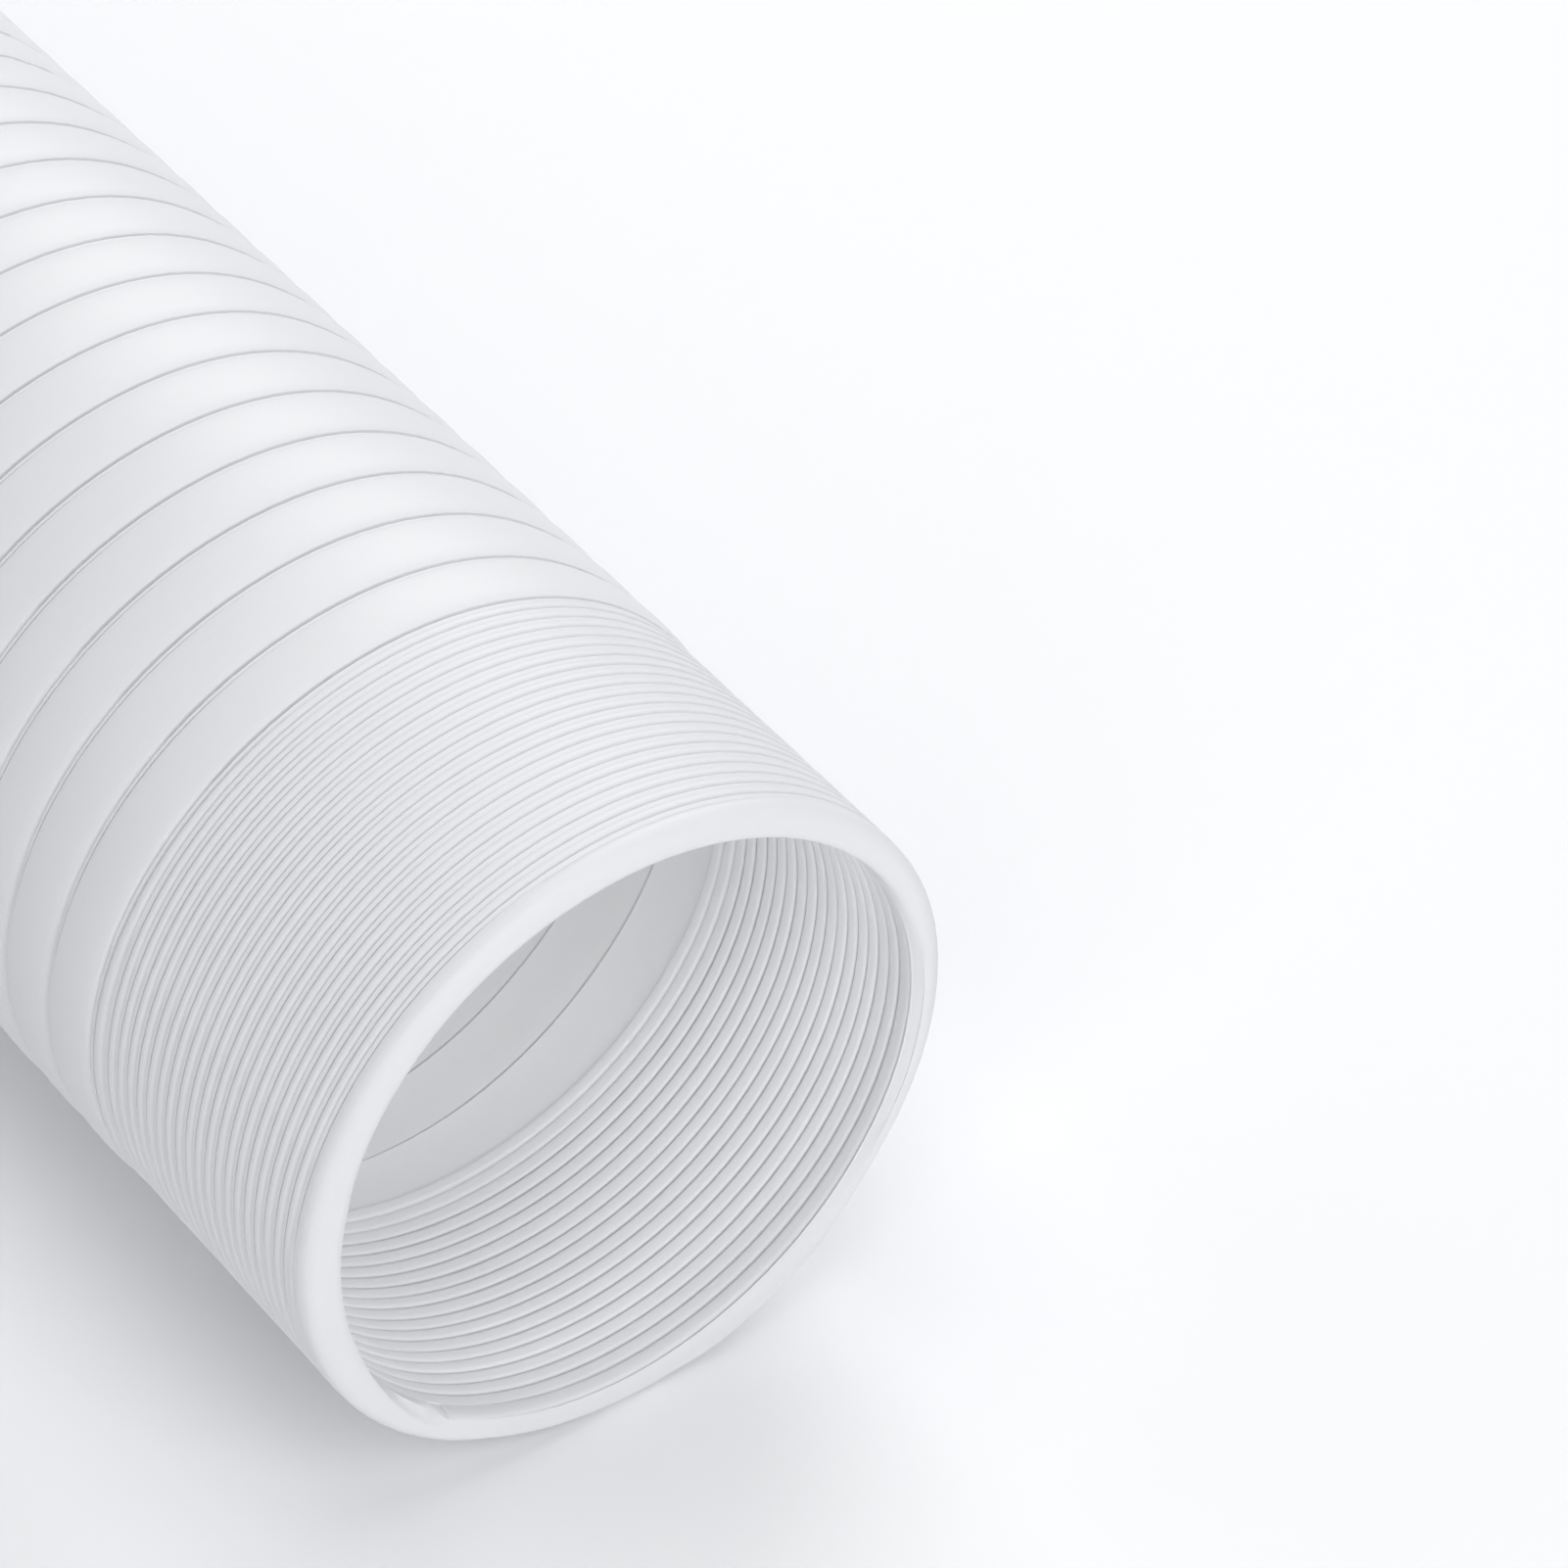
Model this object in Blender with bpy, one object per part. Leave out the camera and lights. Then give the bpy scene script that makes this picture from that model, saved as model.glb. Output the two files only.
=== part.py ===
"""Flexible exhaust hose for a portable air conditioner.

One extruded plastic strip is wound into a tube and hooked to itself, turn by
turn.  Near the mouth the turns are pushed together into fine beads; behind
them they are pulled out into wide bands.  The strip is one piece, so the hose
is one solid here, with its hooks closed up into a continuous wall.

The hose lies along Y on the plane z = 0 with its mouth towards -Y.
"""
import math

import bpy
import bmesh

MM = 0.001

# ---- driving sizes, millimetres -------------------------------------------
CREST_R = 75.0          # outside radius over the front edge of a wide turn
VALLEY_R = 72.5         # outside radius at the rear edge of a wide turn
BEAD_R = 74.3           # outside radius over the pushed-together turns
BEAD_VALLEY_R = 72.6    # outside radius between them
BORE_R = 69.4           # inside radius of the wall
RIM_R = 67.4            # inside radius of the rolled lip at the mouth
LIP_R = 74.3            # outside radius of the rolled lip

WIDE_PITCH = 15.4       # axial advance of one pulled-out turn
FINE_PITCH = 3.4        # axial advance of one pushed-together turn
FINE_TURNS = 20.5       # turns pushed together behind the lip
WIDE_TURNS = 76.5       # turns pulled out behind them
GROOVE = 1.3            # axial length of the step between two wide turns

LIP_LEN = 3.2           # from the mouth's face to the first groove
LIP_FACE_IN = 68.2      # flat front of the lip, inside radius
LIP_FACE_OUT = 72.2     # flat front of the lip, outside radius
LIP_ROLL = 1.8          # axial depth over which the lip rolls outwards
LIP_INNER = 7.0         # axial depth over which the lip widens to the bore

TAIL_LEN = 3.0          # plain edge behind the last groove
TAIL_FACE_IN = 70.0
TAIL_FACE_OUT = 71.8

SIDES = 24              # flats round the hose, one of them at the bottom
HAND = -1               # winding sense about +Y, from the mouth rearwards
START = math.radians(140.0)   # where the strip's cut end lies, from +Z

# ---- derived ---------------------------------------------------------------
ROUND = 1.0 / math.cos(math.pi / SIDES)      # corner radius over flat radius
FINE_LEN = FINE_TURNS * FINE_PITCH
WIDE_LEN = WIDE_TURNS * WIDE_PITCH
LENGTH = LIP_LEN + FINE_LEN + WIDE_LEN + TAIL_LEN
TURNS = FINE_TURNS + WIDE_TURNS
STEPS = int(round(TURNS * SIDES))


def advance(step):
    """Axial position of the strip's front edge after so many steps."""
    turn = step / SIDES
    if turn <= FINE_TURNS:
        return LIP_LEN + turn * FINE_PITCH
    return LIP_LEN + FINE_LEN + (turn - FINE_TURNS) * WIDE_PITCH


def wideness(step):
    """0 where the turns are pushed together, 1 where they are pulled out."""
    turn = step / SIDES - (FINE_TURNS - 1.0)
    return min(1.0, max(0.0, turn))


def flat_radius(r, column):
    """A corner of the outline whose flats lie at radius r."""
    return r * ROUND


def point(s, r, column):
    """Axial place s from the mouth and flat radius r, at a corner."""
    angle = (column + 0.5) * 2.0 * math.pi / SIDES
    rr = flat_radius(r, column)
    x = rr * math.sin(angle)
    z = CREST_R + rr * math.cos(angle)
    y = s - LENGTH / 2.0
    return (x * MM, y * MM, z * MM)


def make_hose():
    bm = bmesh.new()
    first = int(round(START / (2.0 * math.pi / SIDES)))

    # Each column holds its points from the bore at the mouth, round the lip,
    # along the outside and back into the bore at the far end.
    def head(column):
        return [bm.verts.new(point(s, r, column)) for s, r in (
            (LIP_INNER, BORE_R),
            (1.2, RIM_R),
            (0.0, LIP_FACE_IN),
            (0.0, LIP_FACE_OUT),
            (LIP_ROLL, LIP_R),
        )]

    def tail(column):
        return [bm.verts.new(point(s, r, column)) for s, r in (
            (LENGTH - 1.0, VALLEY_R),
            (LENGTH, TAIL_FACE_OUT),
            (LENGTH, TAIL_FACE_IN),
            (LENGTH - 1.0, BORE_R),
        )]

    heads, tails = [], []
    for k in range(SIDES):
        column = (first + HAND * k) % SIDES
        heads.append(head(column))
        tails.append(tail(column))

    # The strip's own points, one pair for every step along the winding: the
    # bottom of the groove in front of the edge, and the edge's crest.
    pairs = []
    for step in range(STEPS):
        column = (first + HAND * (step % SIDES)) % SIDES
        s = advance(step)
        w = wideness(step)
        gap = (FINE_PITCH / 2.0) * (1.0 - w) + GROOVE * w
        low = BEAD_VALLEY_R * (1.0 - w) + VALLEY_R * w
        top = BEAD_R * (1.0 - w) + CREST_R * w
        pairs.append((bm.verts.new(point(s, low, column)),
                      bm.verts.new(point(s + gap, top, column))))

    def quad(a, b, c, d):
        if HAND < 0:
            a, b, c, d = d, c, b, a
        bm.faces.new((a, b, c, d))

    def tri(a, b, c):
        if HAND < 0:
            a, b, c = c, b, a
        bm.faces.new((a, b, c))

    for step in range(STEPS):
        # within the edge: groove bottom to crest
        if step + 1 < STEPS:
            a, b = pairs[step], pairs[step + 1]
            quad(a[0], b[0], b[1], a[1])
        # from this crest back to the next turn's groove
        if step + 1 + SIDES < STEPS:
            a, b = pairs[step][1], pairs[step + 1][1]
            c, d = pairs[step + SIDES + 1][0], pairs[step + SIDES][0]
            quad(a, b, c, d)

    for k in range(SIDES):
        n = (k + 1) % SIDES
        # lip
        for i in range(4):
            quad(heads[k][i], heads[n][i], heads[n][i + 1], heads[k][i + 1])
        # far end
        for i in range(3):
            quad(tails[k][i], tails[n][i], tails[n][i + 1], tails[k][i + 1])
        # bore
        quad(tails[k][3], tails[n][3], heads[n][0], heads[k][0])

    # from the lip to the first turn's groove, closed at the strip's cut end
    for k in range(SIDES - 1):
        quad(heads[k][4], heads[k + 1][4], pairs[k + 1][0], pairs[k][0])
    last = SIDES - 1
    quad(heads[last][4], heads[0][4], pairs[SIDES][0], pairs[last][0])
    tri(heads[0][4], pairs[0][0], pairs[SIDES][0])
    tri(pairs[0][0], pairs[0][1], pairs[SIDES][0])

    # from the last turn's crest to the far end
    base = STEPS - SIDES
    for k in range(SIDES - 1):
        quad(pairs[base + k][1], pairs[base + k + 1][1],
             tails[k + 1][0], tails[k][0])
    end = STEPS - 1
    tri(pairs[end][1], tails[0][0], tails[last][0])
    tri(pairs[end][1], pairs[base][1], tails[0][0])
    tri(pairs[end][0], pairs[base][1], pairs[end][1])
    tri(pairs[base - 1][1], pairs[base][1], pairs[end][0])

    mesh = bpy.data.meshes.new("hose")
    bm.normal_update()
    bm.to_mesh(mesh)
    bm.free()
    return mesh


def plastic():
    mat = bpy.data.materials.new("hose_plastic")
    mat.use_nodes = True
    bsdf = mat.node_tree.nodes["Principled BSDF"]
    bsdf.inputs["Base Color"].default_value = (0.83, 0.84, 0.86, 1.0)
    bsdf.inputs["Roughness"].default_value = 0.42
    bsdf.inputs["Metallic"].default_value = 0.0
    return mat


def main():
    for ob in list(bpy.data.objects):
        bpy.data.objects.remove(ob, do_unlink=True)
    mesh = make_hose()
    hose = bpy.data.objects.new("hose", mesh)
    bpy.context.scene.collection.objects.link(hose)
    hose.data.materials.append(plastic())
    mesh.shade_smooth()
    mesh.set_sharp_from_angle(angle=math.radians(30.0))


main()
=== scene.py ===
"""Flexible exhaust hose for a portable air conditioner: the visual model.

One hooked plastic strip wound into a tube, its turns pushed together into fine
beads behind the mouth and pulled out into wide bands further back.  Everything
is built in millimetres along s, the distance from the mouth's face, and turned
round the hose's axis, which lies along Y at the height AXIS.
"""
import math

import bmesh
import bpy
from mathutils import Matrix, Vector


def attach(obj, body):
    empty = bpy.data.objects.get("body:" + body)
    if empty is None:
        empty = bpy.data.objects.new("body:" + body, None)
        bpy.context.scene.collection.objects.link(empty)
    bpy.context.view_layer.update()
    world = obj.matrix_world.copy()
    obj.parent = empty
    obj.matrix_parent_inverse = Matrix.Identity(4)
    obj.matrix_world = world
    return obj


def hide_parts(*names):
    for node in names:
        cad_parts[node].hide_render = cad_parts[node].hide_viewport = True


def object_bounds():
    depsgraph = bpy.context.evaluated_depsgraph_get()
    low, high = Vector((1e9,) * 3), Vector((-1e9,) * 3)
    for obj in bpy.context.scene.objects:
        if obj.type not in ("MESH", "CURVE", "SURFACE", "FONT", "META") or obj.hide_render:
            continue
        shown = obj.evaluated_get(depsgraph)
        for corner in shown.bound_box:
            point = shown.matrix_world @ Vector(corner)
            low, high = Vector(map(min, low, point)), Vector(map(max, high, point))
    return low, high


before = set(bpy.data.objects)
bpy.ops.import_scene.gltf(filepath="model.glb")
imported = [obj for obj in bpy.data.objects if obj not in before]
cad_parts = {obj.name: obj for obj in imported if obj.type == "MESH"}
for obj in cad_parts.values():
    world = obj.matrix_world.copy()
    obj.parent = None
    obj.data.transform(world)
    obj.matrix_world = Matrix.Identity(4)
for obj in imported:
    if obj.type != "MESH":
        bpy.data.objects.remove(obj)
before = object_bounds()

MM = 0.001

# ---- the hose, millimetres -------------------------------------------------
LENGTH = (before[1].y - before[0].y) / MM
AXIS = 75.0             # height of the hose's axis over the floor
COLS = 90               # columns round the hose near the mouth, every 2nd behind
NEAR_TURNS = 34         # turns made with every column
FIRST_OUT = 48          # column where the outside winding starts
FIRST_IN = 68           # column where the inside winding starts
COL_ZERO = -51.77       # angle of column 0, from +Z towards +X, degrees
TOP = 28.23             # angle from which the measured places are counted

FINE_PITCH = 3.383
FINE_START = 3.10       # outside groove at its start
WIDE_PITCH = 15.4
WIDE_FROM = 20.5333     # turns at which the wide line is at WIDE_BASE
WIDE_BASE = 73.3
IN_PITCH = 3.427
IN_START = 0.52

# outline of one turn on the outside, from one groove's floor to the next: the
# place along the turn (0 to 1) and the radius, pushed together and pulled out
OUT_FINE = ((0.0, 72.60), (0.085, 73.86), (0.320, 73.98), (0.400, 72.50),
            (0.490, 73.98), (0.540, 74.14), (0.620, 74.22), (0.720, 74.23),
            (0.830, 74.20), (0.910, 74.12), (0.955, 73.96))
OUT_WIDE = ((0.0, 72.50), (0.028, 73.96), (0.070, 74.02), (0.092, 72.00),
            (0.117, 74.18), (0.150, 74.44), (0.270, 74.78), (0.460, 74.94),
            (0.700, 74.92), (0.900, 74.70), (0.983, 74.42))
OUT_FAR = (0, 1, 2, 3, 4, 6, 8, 10)        # the points that the far turns keep
IN_FINE = ((0.0, 70.00), (0.070, 67.84), (0.14, 67.55), (0.30, 67.45),
           (0.50, 67.47), (0.72, 67.45), (0.88, 67.56), (0.940, 67.84))
IN_WIDE = ((0.0, 71.4), (0.038, 68.88), (0.09, 68.78), (0.32, 68.95),
           (0.58, 68.92), (0.80, 68.74), (0.94, 68.45), (0.978, 68.36))
IN_FAR = (0, 1, 3, 5, 7)

# the mouth's rim, by the angle from TOP: how far its inner edge stands off the
# bore, how its front slopes, and how far out it flares where it flares
EDGE = ((-180, -0.2), (-150, -0.8), (-135, -1.0), (-120, -1.3), (-105, -1.3),
        (-90, -0.5), (-60, 0.0), (-30, 0.0), (0, -0.2), (20, 0.0), (40, 0.9),
        (55, 1.5), (70, 1.9), (90, 1.9), (110, 1.2), (180, -0.2))
NOSE = ((-180, 73.0), (-150, 73.1), (-120, 73.0), (0, 73.0), (40, 72.6),
        (70, 71.9), (90, 72.2), (110, 72.9), (180, 73.0))
SLOPE = ((-180, 1.135), (-165, 1.9), (60, 1.355), (90, 0.773), (120, 0.655),
         (135, 0.667), (150, 0.727), (165, 0.858), (180, 1.135))
FLARE = ((60, -3.3), (100, -3.6), (120, -4.3), (135, -4.7), (150, -4.4),
         (165, -4.75), (180, -5.9), (190, -6.4), (200, -6.6))
RIDGE = ((60, -2.0), (135, -3.0), (150, -2.85), (165, -3.05), (180, -3.7),
         (190, -4.9), (200, -5.0))


def clamp(x):
    return min(1.0, max(0.0, x))


def smooth(x):
    x = clamp(x)
    return x * x * (3.0 - 2.0 * x)


def mix(a, b, t):
    return a + (b - a) * t


def soft_max(a, b, width):
    """The larger of two numbers, rounded where they cross."""
    h = clamp(0.5 + 0.5 * (a - b) / width)
    return mix(b, a, h) + width * h * (1.0 - h)


def col_angle(col):
    """Angle of a column, from +Z towards +X."""
    return math.radians(COL_ZERO + 360.0 * col / COLS)


def table(rows, x):
    """A value read from rows of (place, value), in a straight line between."""
    if x <= rows[0][0]:
        return rows[0][1]
    for (a, u), (b, v) in zip(rows, rows[1:]):
        if x <= b:
            return mix(u, v, smooth((x - a) / (b - a)))
    return rows[-1][1]


def turned(angle):
    """The same angle counted from TOP, in degrees from -180 to 180."""
    return (math.degrees(angle) - TOP + 180.0) % 360.0 - 180.0


def bump(x, middle, width):
    return math.exp(-((x - middle) / width) ** 2)


def uneven(step):
    """No turn lies quite like the one beside it."""
    return (0.055 * math.sin(step * 0.0413 + 0.4)
            + 0.045 * math.sin(step * 0.0931 + 2.1)
            + 0.035 * math.sin(step * 0.1577 + 4.0))


def lean_out(s, theta):
    """The turns stand a little off square, differently along the hose."""
    t, w = clamp((s - 5.0) / 30.0), clamp((s - 35.0) / 35.0)
    a = mix(mix(0.33, 0.55, t), 0.20, w)
    b = mix(mix(0.54, 0.30, t), 0.25, w)
    th = math.radians(theta)
    off = a * math.cos(th) + b * math.sin(th)
    off += 0.35 * bump(s, 30.0, 18.0) * bump(theta, -50.0, 35.0)
    return off * clamp(s / 5.0)


def lean_in(s, theta):
    t = clamp((s - 5.0) / 65.0)
    a, b = mix(0.48, -0.44, t), mix(0.44, -0.28, t)
    w = clamp((s - 74.0) / 16.0)
    a, b = mix(a, 1.5, w), mix(b, 1.1, w)
    fade = clamp(s / 5.0) * (1.0 - smooth((s - 250.0) / 200.0))
    th = math.radians(theta)
    return (a * math.cos(th) + b * math.sin(th)) * fade


def out_line(step):
    """Where the outside groove is, so many column steps after its start."""
    n = step / COLS
    theta = turned(col_angle(FIRST_OUT - step))
    fine = FINE_START + FINE_PITCH * n
    fine += lean_out(fine, theta)
    wide = WIDE_BASE + WIDE_PITCH * (n - WIDE_FROM)
    wide += (2.0 * bump(theta, 8.0, 38.0) - 0.4) * (
        1.0 - smooth((wide - 250.0) / 200.0))
    s = soft_max(fine, wide, 0.6)
    return s + uneven(step) * clamp(n - 0.6) * 0.7


def in_line(step):
    """Where the inside groove is, so many column steps after its start."""
    n = step / COLS
    theta = turned(col_angle(FIRST_IN - step))
    fine = IN_START + IN_PITCH * n
    around = theta if theta > -100.0 else theta + 360.0
    fine += lean_in(fine, theta) + 0.35 * bump(around, 185.0, 25.0)
    fine += (1.2 * min(1.0, step / 24.0) - 1.2) if step < 24 else 0.0
    wide = WIDE_BASE + WIDE_PITCH * (n - 19.7554)
    off = 1.1 - 1.6 * clamp((125.0 - theta) / 40.0) ** 2 if theta > 0 else -0.2
    wide += lean_in(wide, theta) + off * clamp((wide - 66.0) / 8.0)
    s = soft_max(fine, wide, 0.6)
    return s + uneven(step + 31) * clamp(n - 0.3)


def place(s, r, col):
    a = col_angle(col)
    r = min(r, 74.97)
    return (r * math.sin(a) * MM, s * MM - LENGTH * MM / 2.0,
            (AXIS + r * math.cos(a)) * MM)


def wideness(pitch):
    return smooth((pitch - 4.0) / 9.0)


class Winding:
    """One side of the wall: a helical grid with `cells` cells to each turn."""

    def __init__(self, verts, line, first, fine, wide, far, shift, dress):
        self.verts, self.line, self.first = verts, line, first
        self.fine, self.wide, self.far = fine, wide, far
        self.shift, self.dress = shift, dress
        self.cells = len(fine)
        self.switch = NEAR_TURNS * COLS
        self.end = int(self.limit() * COLS) // 2 * 2
        self.index = {}
        for step in range(0, self.end + 1):
            if step % 2 and step > self.switch + COLS:
                continue
            self.add(step, 0)
            if step <= self.end - COLS and (
                    step <= self.switch or step % 2 == 0):
                keep = (range(self.cells) if step <= self.switch else far)
                for m in keep:
                    if m:
                        self.add(step, m)

    def limit(self):
        n = 1
        while self.line(n * COLS) < LENGTH - 3.0:
            n += 1
        return n - 1

    def span(self, step):
        return self.line(step + COLS) - self.line(step)

    def front(self, step):
        """Where the groove's floor starts."""
        w = wideness(self.line(step) - self.line(max(0, step - COLS)))
        return self.line(step) + self.shift * w

    def add(self, step, m):
        w_here = wideness(self.span(min(step, self.end - COLS)))
        w_prev = wideness(self.line(step) - self.line(max(0, step - COLS)))
        if m == 0:
            s = self.front(step)
            r = mix(self.fine[0][1], self.wide[0][1], w_prev)
        else:
            a, b = self.front(step), self.front(step + COLS)
            u = mix(self.fine[m][0], self.wide[m][0], w_here)
            s = mix(a, b, u)
            r = mix(self.fine[m][1], self.wide[m][1], w_here)
        s, r = self.dress(step, m, s, r, self)
        self.index[(step, m)] = len(self.verts)
        self.verts.append(place(s, r, self.first - step))

    def col(self, step):
        return (self.first - step) % COLS

    def section(self, step):
        """Vertices across one turn at a step, front groove to rear groove."""
        out = [m for m in range(self.cells) if (step, m) in self.index]
        return [self.index[(step, m)] for m in out] + [
            self.index[(step + COLS, 0)]]

    def faces(self):
        polys = []
        step = 0
        last = self.end - COLS
        while step < last:
            near = step < self.switch
            nxt = step + (1 if near else 2)
            marks = list(range(self.cells)) if near else list(self.far)
            marks.append(self.cells)
            for a, b in zip(marks, marks[1:]):
                left = [m for m in range(a, b + 1)
                        if m == self.cells or (step, m) in self.index]
                side = [self.at(step, m) for m in left]
                other = [self.at(nxt, m) for m in (a, b)]
                poly = side + other[::-1]
                if not near and a == 0 and (step + 1, 0) in self.index:
                    poly.append(self.index[(step + 1, 0)])
                polys.append(poly)
            step = nxt
        return polys

    def at(self, step, m):
        if m == self.cells:
            return self.index[(step + COLS, 0)]
        return self.index[(step, m)]


def closing(step):
    """1 where the first groove behind the lip is squeezed shut."""
    c = smooth((step - 52.0) / 7.0) * (1.0 - smooth((step - 80.0) / 8.0))
    return max(c, 1.0 - smooth(step / 9.0))


def opening(step):
    """0 where the inside's first grooves run out into the lip, 1 elsewhere."""
    if step < COLS / 2:
        return smooth(step / 14.0)
    return 1.0 - 0.85 * bump(step, 90.0, 9.0)


def bent(around):
    """1 where the rim is bent outwards."""
    return smooth((around - 92.0) / 30.0) * (1.0 - smooth((around - 176.0) / 54.0))


def flared(s, r, theta):
    """The bore widens towards the mouth on one side, as if bent outwards."""
    around = theta if theta > -100.0 else theta + 360.0
    f = bent(around)
    f *= 1.0 - smooth((s - 3.0) / 7.0)
    out = 0.5 * (s + math.sqrt(s * s + 2.4))
    slope = table(SLOPE, around) if around <= 180.0 else 1.135
    return mix(max(s, 0.25), out, f), r + f * (out - s) / slope


def hooks(theta):
    """How open the strip's two seams lie: the hooks sit over to one side."""
    front = 0.15 + 0.85 * (1.0 - smooth((theta + 70.0) / 35.0))
    rear = 0.10 + 0.90 * smooth((theta + 105.0) / 55.0)
    t = smooth((theta - 130.0) / 50.0)
    return mix(front, 1.0, t), mix(rear, 0.10, t)


def dress_out(step, m, s, r, w):
    if m in (0, 3):
        front, rear = hooks(turned(col_angle(FIRST_OUT - step)))
        r = mix(73.98, r, front if m == 0 else rear)
    c = closing(step)
    if c > 0.0 and m < 5:
        r = mix(r, 74.30, c)
    return s, r + 0.5 * uneven(1.7 * step + 9.0) * clamp(step / 90.0 - 0.5)


def dress_in(step, m, s, r, w):
    theta = turned(col_angle(FIRST_IN - step))
    if m in (0, 1, w.cells - 1):
        r = mix(67.50, r, opening(step if m < 2 else step + COLS))
    r += uneven(2.3 * step + 4.0) * clamp(step / 90.0 - 0.2)
    if s < 10.0:
        return flared(s, r, theta)
    return s, r


def lip_plain(so, si, theta, c, g):
    """Outline of the rolled rim, from the inside groove to the outside one."""
    d, nose = table(EDGE, theta), table(NOSE, theta)
    rin = 67.40 + d
    near = mix(67.45, rin, 0.35 if d < 0.0 else 0.12)
    deep = max(si, 1.7)
    return [
        (si - 0.10, mix(67.52, 67.80, g)), (si - 0.26, 67.50),
        (mix(deep, 1.2, 0.35), near),
        (mix(deep, 1.2, 0.75), mix(67.45, rin, 0.80 if d < 0.0 else 0.35)),
        (0.72, mix(67.45, rin, 1.0 if d < 0.0 else 0.62)),
        (0.25, rin + 0.38),
        (0.04, mix(rin, nose - 2.1, 0.45)),
        (0.0, nose - 2.1),
        (0.10, nose - 1.05),
        (0.38, nose - 0.25), (0.85, nose + 0.50), (1.55, mix(nose, 74.3, 0.82)),
        (mix(1.55, so, 0.55), 74.25),
        (so - 0.13, mix(73.98, 74.30, c)),
    ]


def lip_flared(so, si, theta, c, g):
    """The same where the rim is bent outwards: it carries one more ridge."""
    around = theta if theta > -100.0 else theta + 360.0
    slope = table(SLOPE, around) if around <= 180.0 else 1.135
    ridge, edge = table(RIDGE, around), table(FLARE, around)
    deep = smooth((around - 125.0) / 20.0)

    def at(q, r):
        s = 0.5 * (q + math.sqrt(q * q + 2.4))
        return (s, r + (s - q) / slope)

    out = [at(si - 0.15, mix(67.52, 67.85, g)), at(si - 0.42, 67.50),
           at(mix(si, ridge, 0.40), 67.45), at(ridge + 0.62, 67.50),
           at(ridge + 0.25, 67.62), at(ridge, 67.62 + 0.30 * deep),
           at(ridge - 0.38, 67.60), at(edge + 0.45, 67.50), at(edge, 67.62)]
    s0, r0 = out[-1]
    for s in (0.55, 1.15, 2.0):
        out.append((s, min(74.55, r0 + (s - s0) / slope - 0.04 * (s - s0))))
    out.append((mix(2.0, so, 0.55), max(out[-1][1], 74.25)
                if slope < 1.0 else mix(out[-1][1], 74.3, 0.75)))
    out.append((so - 0.13, mix(73.98, 74.30, c)))
    return [(s, min(r, 74.9)) for s, r in out]


def make_hose():
    verts = []
    outer = Winding(verts, out_line, FIRST_OUT, OUT_FINE, OUT_WIDE, OUT_FAR,
                    0.0, dress_out)
    inner = Winding(verts, in_line, FIRST_IN, IN_FINE, IN_WIDE, IN_FAR,
                    0.15, dress_in)
    polys = outer.faces() + [p[::-1] for p in inner.faces()]

    # the lip round the mouth, column by column, from the outside to the inside
    lips = {}
    for k in range(COLS):
        so, si = outer.front(k), inner.front((FIRST_IN - FIRST_OUT + k) % COLS)
        theta = turned(col_angle(FIRST_OUT - k))
        around = theta if theta > -100.0 else theta + 360.0
        c, f = closing(k), bent(around)
        g = opening((FIRST_IN - FIRST_OUT + k) % COLS)
        outline = [(mix(a[0], b[0], f), mix(a[1], b[1], f)) for a, b in zip(
            lip_plain(so, si, theta, c, g), lip_flared(so, si, theta, c, g))]
        col = outer.col(k)
        lips[col] = []
        for s, r in reversed(outline):
            lips[col].append(len(verts))
            verts.append(place(max(s, 0.0), r, col))
    for k in range(COLS):
        a, b = outer.col(k), outer.col(k + 1)
        polys.append([outer.index[(k + 1, 0)], outer.index[(k, 0)],
                      lips[a][0], lips[b][0]])
        for i in range(len(lips[a]) - 1):
            polys.append([lips[b][i], lips[a][i],
                          lips[a][i + 1], lips[b][i + 1]])
        a, b = inner.col(k), inner.col(k + 1)
        polys.append([lips[b][-1], lips[a][-1],
                      inner.index[(k, 0)], inner.index[(k + 1, 0)]])
    polys.append([lips[outer.col(0)][0]] + outer.section(0))
    polys.append([lips[inner.col(0)][-1]] + inner.section(0)[::-1])

    # the plain edge at the far end
    base_o, base_i = outer.end - COLS, inner.end - COLS
    tails = {}
    for k in range(0, COLS, 2):
        col = outer.col(base_o + k)
        tails[col] = []
        for s, r in ((LENGTH - 0.9, 73.4), (LENGTH - 0.15, 72.9),
                     (LENGTH, 72.2), (LENGTH, 71.2), (LENGTH - 0.2, 70.5),
                     (LENGTH - 0.9, 70.1)):
            tails[col].append(len(verts))
            verts.append(place(s, r, col))
    for k in range(0, COLS, 2):
        a, b = outer.col(base_o + k), outer.col(base_o + k + 2)
        polys.append([outer.index[(base_o + k, 0)],
                      outer.index[(base_o + k + 2, 0)],
                      tails[b][0], tails[a][0]])
        for i in range(len(tails[a]) - 1):
            polys.append([tails[a][i], tails[b][i],
                          tails[b][i + 1], tails[a][i + 1]])
        a, b = inner.col(base_i + k), inner.col(base_i + k + 2)
        polys.append([inner.index[(base_i + k + 2, 0)],
                      inner.index[(base_i + k, 0)],
                      tails[a][-1], tails[b][-1]])
    polys.append([tails[outer.col(base_o)][0]] + outer.section(base_o)[::-1])
    polys.append([tails[inner.col(base_i)][-1]] + inner.section(base_i))

    mesh = bpy.data.meshes.new("hose_shell")
    mesh.from_pydata(verts, [], polys)
    mesh.validate()
    bm = bmesh.new()
    bm.from_mesh(mesh)
    bmesh.ops.recalc_face_normals(bm, faces=bm.faces)
    bm.to_mesh(mesh)
    bm.free()
    mesh.shade_smooth()
    mesh.set_sharp_from_angle(angle=math.radians(50.0))
    return mesh


# ---- materials -------------------------------------------------------------
def node(nt, kind, **values):
    made = nt.nodes.new(kind)
    for name, value in values.items():
        made.inputs[name.replace("_", " ")].default_value = value
    return made


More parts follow.
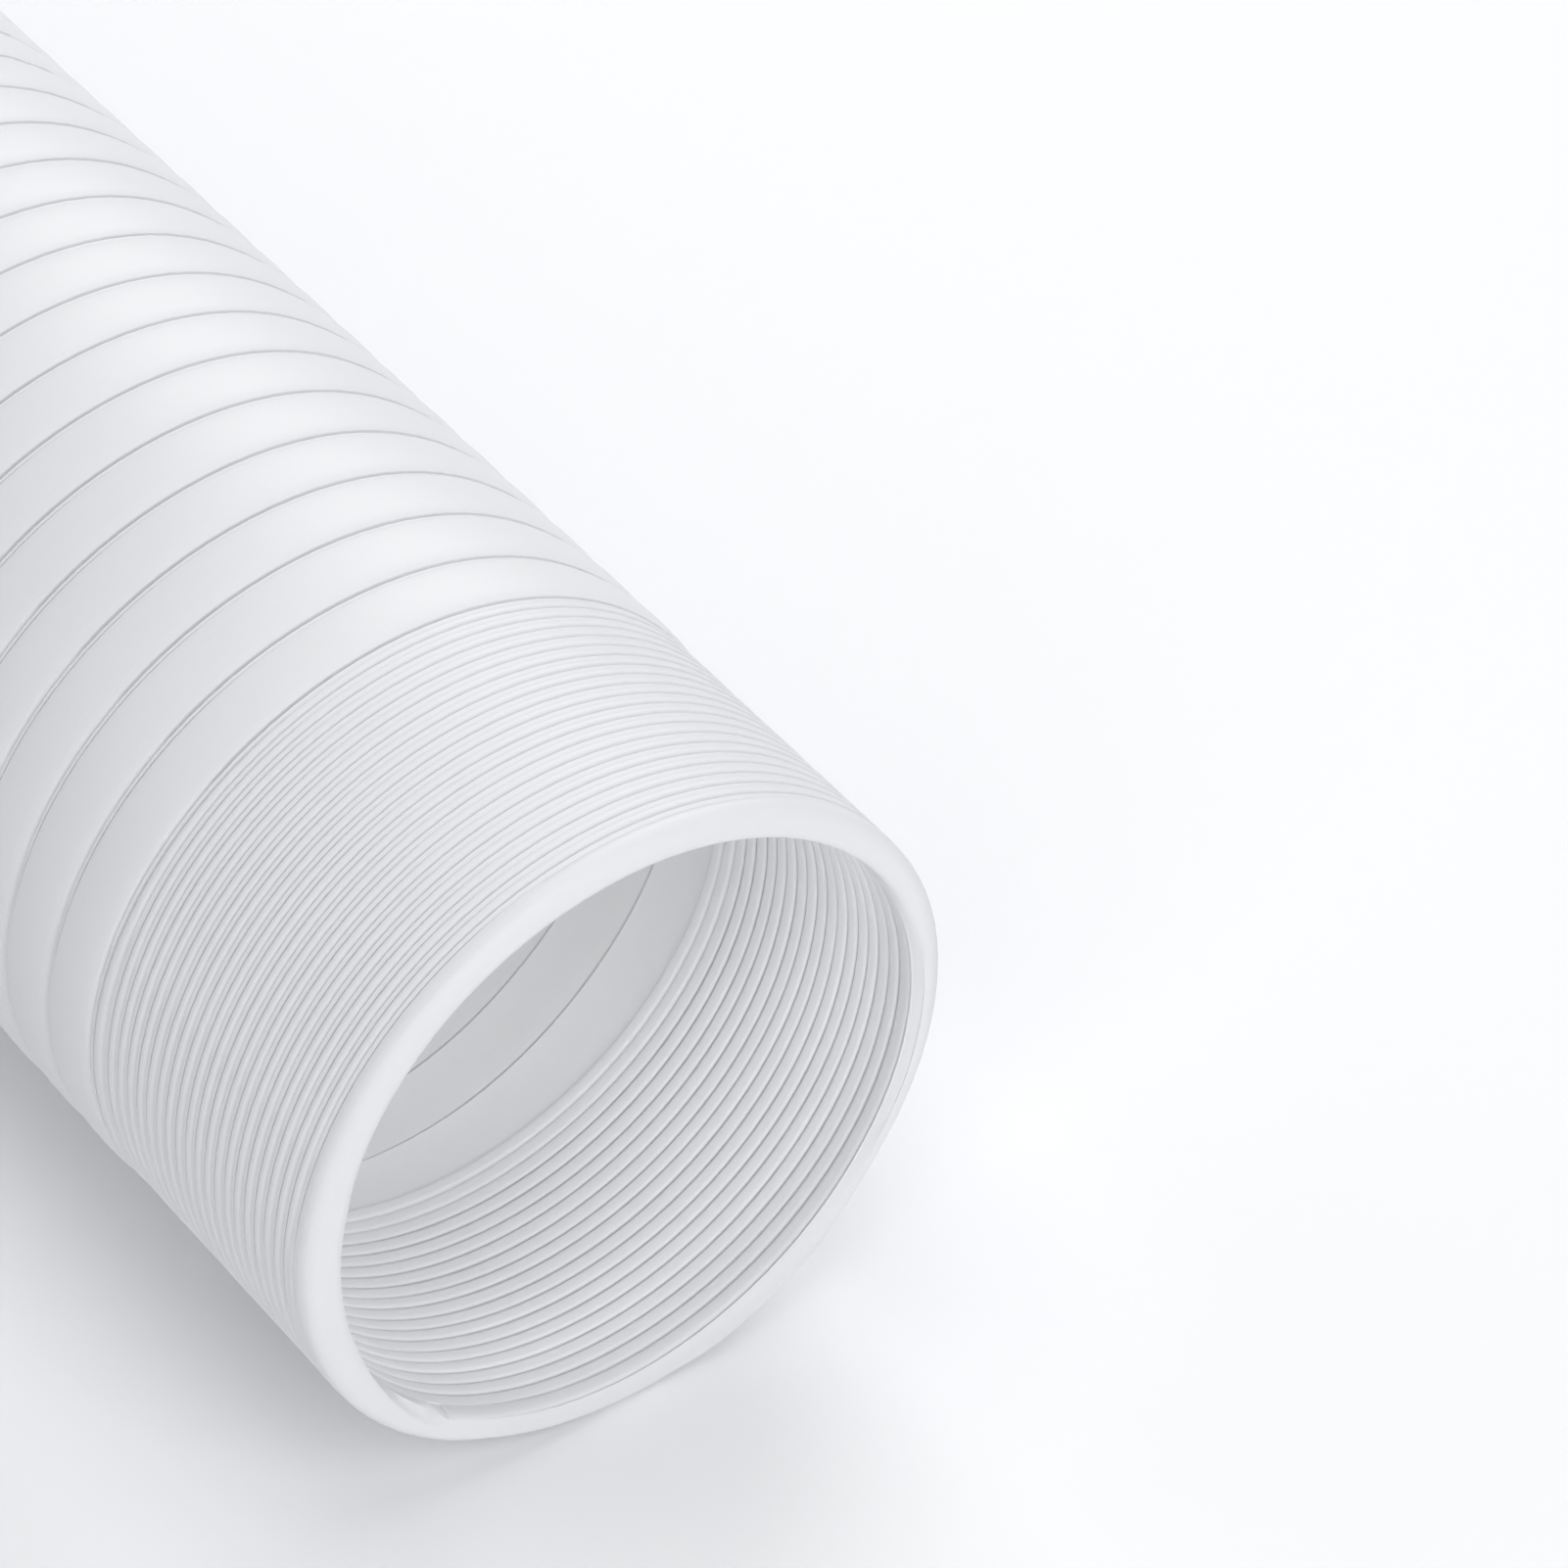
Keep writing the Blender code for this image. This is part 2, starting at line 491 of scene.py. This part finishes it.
def hose_plastic():
    """White extruded plastic: soft sheen, faint lines along the strip, and painted light
    glowing in the bore.
    """
    mat = bpy.data.materials.new("hose_plastic_painted_bore_glow")
    mat.use_nodes = True
    nt = mat.node_tree
    bsdf = nt.nodes["Principled BSDF"]
    coord = nt.nodes.new("ShaderNodeTexCoord")

    # slow changes of tone, as the plastic's thickness changes
    cloud = node(nt, "ShaderNodeTexNoise", Scale=11.0, Detail=3.0)
    nt.links.new(coord.outputs["Object"], cloud.inputs["Vector"])
    tone = nt.nodes.new("ShaderNodeValToRGB")
    tone.color_ramp.elements[0].position = 0.30
    tone.color_ramp.elements[0].color = (0.775, 0.784, 0.804, 1.0)
    tone.color_ramp.elements[1].position = 0.70
    tone.color_ramp.elements[1].color = (0.803, 0.811, 0.830, 1.0)
    nt.links.new(cloud.outputs["Fac"], tone.inputs["Fac"])

    # fine lines round the hose, drawn out along the strip by the die
    stretch = nt.nodes.new("ShaderNodeMapping")
    stretch.inputs["Scale"].default_value = (6.0, 1500.0, 6.0)
    nt.links.new(coord.outputs["Object"], stretch.inputs["Vector"])
    lines = node(nt, "ShaderNodeTexNoise", Scale=1.0, Detail=2.0)
    nt.links.new(stretch.outputs["Vector"], lines.inputs["Vector"])
    faint = nt.nodes.new("ShaderNodeMapRange")
    faint.inputs["To Min"].default_value = 0.975
    faint.inputs["To Max"].default_value = 1.0
    nt.links.new(lines.outputs["Fac"], faint.inputs["Value"])
    shade = nt.nodes.new("ShaderNodeMix")
    shade.data_type = "RGBA"
    shade.blend_type = "MULTIPLY"
    shade.inputs["Factor"].default_value = 1.0
    nt.links.new(tone.outputs["Color"], shade.inputs["A"])
    nt.links.new(faint.outputs["Result"], shade.inputs["B"])
    nt.links.new(shade.outputs["Result"], bsdf.inputs["Base Color"])

    # a fine grain in the sheen
    grain = node(nt, "ShaderNodeTexNoise", Scale=900.0, Detail=2.0)
    nt.links.new(coord.outputs["Object"], grain.inputs["Vector"])
    rough = nt.nodes.new("ShaderNodeMapRange")
    rough.inputs["To Min"].default_value = 0.42
    rough.inputs["To Max"].default_value = 0.56
    nt.links.new(grain.outputs["Fac"], rough.inputs["Value"])
    nt.links.new(rough.outputs["Result"], bsdf.inputs["Roughness"])

    both = nt.nodes.new("ShaderNodeMath")
    both.operation = "ADD"
    nt.links.new(lines.outputs["Fac"], both.inputs[0])
    nt.links.new(grain.outputs["Fac"], both.inputs[1])
    bump_node = node(nt, "ShaderNodeBump", Strength=0.12, Distance=0.0002)
    nt.links.new(both.outputs["Value"], bump_node.inputs["Height"])
    nt.links.new(bump_node.outputs["Normal"], bsdf.inputs["Normal"])
    bsdf.inputs["Specular IOR Level"].default_value = 0.35

    # painted light: the bore glows (emission) in place of the light that the thin
    # wall lets through, but not at the seams, where the strip lies double
    middle = node(nt, "ShaderNodeVectorMath")
    middle.operation = "SUBTRACT"
    middle.inputs[1].default_value = (0.0, 0.0, AXIS * MM)
    nt.links.new(coord.outputs["Object"], middle.inputs[0])
    across = nt.nodes.new("ShaderNodeVectorMath")
    across.operation = "MULTIPLY"
    across.inputs[1].default_value = (1.0, 0.0, 1.0)
    nt.links.new(middle.outputs["Vector"], across.inputs[0])
    radius = nt.nodes.new("ShaderNodeVectorMath")
    radius.operation = "LENGTH"
    nt.links.new(across.outputs["Vector"], radius.inputs[0])
    along = nt.nodes.new("ShaderNodeSeparateXYZ")
    nt.links.new(coord.outputs["Object"], along.inputs["Vector"])
    face = -LENGTH * MM / 2.0
    wider = nt.nodes.new("ShaderNodeMapRange")
    wider.inputs["From Min"].default_value = face + 57.0 * MM
    wider.inputs["From Max"].default_value = face + 65.0 * MM
    wider.inputs["To Max"].default_value = 1.5 * MM
    nt.links.new(along.outputs["Y"], wider.inputs["Value"])
    deep = nt.nodes.new("ShaderNodeMath")
    deep.operation = "SUBTRACT"
    nt.links.new(radius.outputs["Value"], deep.inputs[0])
    nt.links.new(wider.outputs["Result"], deep.inputs[1])
    # painted glow mask: full over the bore's bands, none down in the seam grooves
    painted_glow_mask = nt.nodes.new("ShaderNodeMapRange")
    painted_glow_mask.inputs["From Min"].default_value = 67.68 * MM
    painted_glow_mask.inputs["From Max"].default_value = 67.92 * MM
    painted_glow_mask.inputs["To Min"].default_value = 0.12
    painted_glow_mask.inputs["To Max"].default_value = 0.0
    nt.links.new(deep.outputs["Value"], painted_glow_mask.inputs["Value"])
    # the painted glow fades in from 1.5 to 14 mm behind the mouth
    painted_glow_fade_in = nt.nodes.new("ShaderNodeMapRange")
    painted_glow_fade_in.inputs["From Min"].default_value = face + 1.5 * MM
    painted_glow_fade_in.inputs["From Max"].default_value = face + 14.0 * MM
    nt.links.new(along.outputs["Y"], painted_glow_fade_in.inputs["Value"])
    painted_bore_glow = nt.nodes.new("ShaderNodeMath")
    painted_bore_glow.operation = "MULTIPLY"
    nt.links.new(painted_glow_mask.outputs["Result"], painted_bore_glow.inputs[0])
    nt.links.new(painted_glow_fade_in.outputs["Result"], painted_bore_glow.inputs[1])
    nt.links.new(painted_bore_glow.outputs["Value"], bsdf.inputs["Emission Strength"])
    # colour of the painted bore glow
    bsdf.inputs["Emission Color"].default_value = (0.86, 0.84, 0.82, 1.0)
    return mat


def floor_finish():
    mat = bpy.data.materials.new("floor_finish")
    mat.use_nodes = True
    nt = mat.node_tree
    bsdf = nt.nodes["Principled BSDF"]
    coord = nt.nodes.new("ShaderNodeTexCoord")
    cloud = node(nt, "ShaderNodeTexNoise", Scale=3.0, Detail=2.0)
    nt.links.new(coord.outputs["Object"], cloud.inputs["Vector"])
    tone = nt.nodes.new("ShaderNodeValToRGB")
    tone.color_ramp.elements[0].color = (0.935, 0.943, 0.958, 1.0)
    tone.color_ramp.elements[1].color = (0.945, 0.953, 0.968, 1.0)
    nt.links.new(cloud.outputs["Fac"], tone.inputs["Fac"])
    nt.links.new(tone.outputs["Color"], bsdf.inputs["Base Color"])
    bsdf.inputs["Roughness"].default_value = 0.9
    bsdf.inputs["Specular IOR Level"].default_value = 0.1
    return mat


hose = bpy.data.objects.new("hose_shell", make_hose())
bpy.context.scene.collection.objects.link(hose)
hose.data.materials.append(hose_plastic())
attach(hose, "root")
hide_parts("hose")

floor_mesh = bpy.data.meshes.new("floor")
floor_mesh.from_pydata([(-12, -12, 0), (12, -12, 0), (12, 12, 0), (-12, 12, 0)],
                       [], [(0, 1, 2, 3)])
floor = bpy.data.objects.new("floor", floor_mesh)
bpy.context.scene.collection.objects.link(floor)
floor.data.materials.append(floor_finish())

# ---- light -----------------------------------------------------------------
scene = bpy.context.scene
world = bpy.data.worlds.new("studio")
scene.world = world
world.use_nodes = True
world.node_tree.nodes["Background"].inputs["Color"].default_value = (0.96, 0.975, 1.0, 1.0)
world.node_tree.nodes["Background"].inputs["Strength"].default_value = 0.12
scene.view_settings.view_transform = "Standard"


def area(name, where, aim, size, power):
    data = bpy.data.lights.new(name, "AREA")
    data.shape = "DISK"
    data.size = size
    data.energy = power
    lamp = bpy.data.objects.new(name, data)
    scene.collection.objects.link(lamp)
    lamp.location = where
    lamp.rotation_euler = (Vector(aim) - Vector(where)).to_track_quat("-Z", "Y").to_euler()
    return lamp


MOUTH = Vector((0.0, -LENGTH * MM / 2.0, 0.06))
for name, way, far, size, power in (
        ("front_low", (-0.1, -1.0, 0.22), 2.2, 1.1, 6.0),
        ("front_top", (-0.1, -1.0, 0.9), 2.2, 1.4, 15.0),
        ("top", (0.0, 0.1, 1.0), 2.2, 1.6, 15.0),
        ("left_front", (-1.0, -0.7, 0.9), 2.2, 1.4, 10.0),
        ("back_right", (1.0, 1.1, 0.9), 2.4, 1.6, 26.0),
        ("back_left", (-1.0, 1.1, 1.0), 2.4, 1.6, 7.0),
        ("right_low", (1.2, -0.8, 0.4), 2.2, 1.2, 7.0)):
    area(name, MOUTH + Vector(way).normalized() * far, MOUTH, size, power)

# ---- camera ----------------------------------------------------------------
RIGHT = Vector((0.806155, -0.591704, 0.0))
DOWN = Vector((-0.405311, -0.552208, -0.728552))
AHEAD = Vector((0.431087, 0.587326, -0.684990))
cam_data = bpy.data.cameras.new("camera")
cam_data.sensor_width = 36.0
cam_data.lens = 36.0 * 6873.956 / 1601.0
cam_data.clip_end = 60.0
cam = bpy.data.objects.new("camera", cam_data)
scene.collection.objects.link(cam)
turn = Matrix((RIGHT, -DOWN, -AHEAD)).transposed().to_4x4()
turn.translation = Vector((-0.501683, -0.731866 - LENGTH * MM / 2.0,
                           0.924908 + AXIS * MM))
cam.matrix_world = turn
scene.camera = cam
